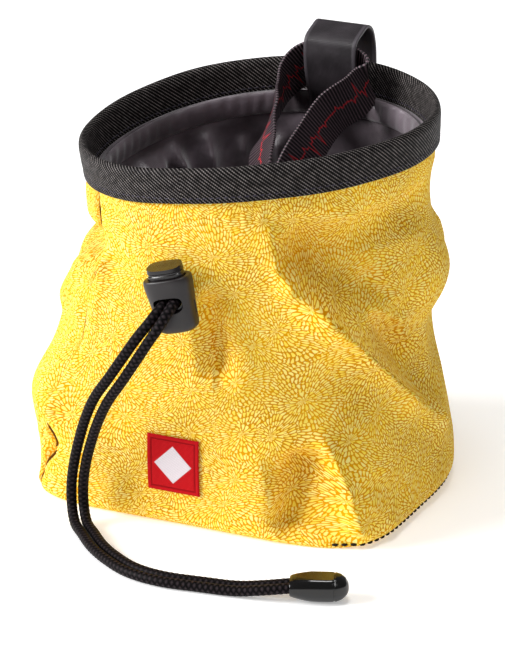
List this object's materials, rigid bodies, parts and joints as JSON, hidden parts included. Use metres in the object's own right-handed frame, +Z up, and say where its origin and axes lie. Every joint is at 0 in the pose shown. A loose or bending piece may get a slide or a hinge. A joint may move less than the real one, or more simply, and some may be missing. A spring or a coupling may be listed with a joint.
{
  "type": "climbing chalk bag",
  "caption": "Soft cloth chalk bag with a bound round mouth, nylon lining, belt in a back loop, and a drawcord with a spring cord lock and toggle.",
  "frame": {"origin": "the middle of the box of the bag without its cord, on the ground", "axes": "+Z up, the eyelet, cord lock and label face -Y, the belt loop is at +Y"},
  "size_m": [0.145, 0.1688, 0.1471],
  "materials": {
    "printed_cloth": "matt yellow cotton twill with a small pale print",
    "base_cloth": "matt black plain weave",
    "binding_tape": "black herringbone twill tape",
    "lining_nylon": "satin black nylon",
    "loop_ribbon": "smooth fine black ribbon",
    "belt_ribbon": "black cross-ribbed ribbon with a thin red woven line",
    "label_cloth": "red woven label",
    "eyelet_plastic": "gloss black",
    "lock_plastic": "satin black with a fine moulded grain",
    "braided_cord": "fine black braid",
    "toggle_plastic": "gloss black"
  },
  "bodies": {
    "bag": {"outer_shell": "printed_cloth", "bottom_panel": "base_cloth", "rim_binding": "binding_tape", "lining_bag": "lining_nylon", "drawcord_channel": "lining_nylon", "belt_loop": "loop_ribbon", "belt_strap": "belt_ribbon", "front_label": "label_cloth", "front_eyelet": "eyelet_plastic", "lock_barrel": "lock_plastic", "drawcord_outer": "braided_cord", "drawcord_inner": "braided_cord", "cord_toggle": "toggle_plastic"},
    "button": {"lock_button": "lock_plastic"}
  },
  "joints": [
    {"name": "lock_button_press", "type": "slide", "parent": "bag", "child": "button", "axis": [0.2406, 0.0253, -0.9703], "range_m": [0, 0.003], "stiffness_N_per_m": 1000, "springref_m": -0.002}
  ]
}
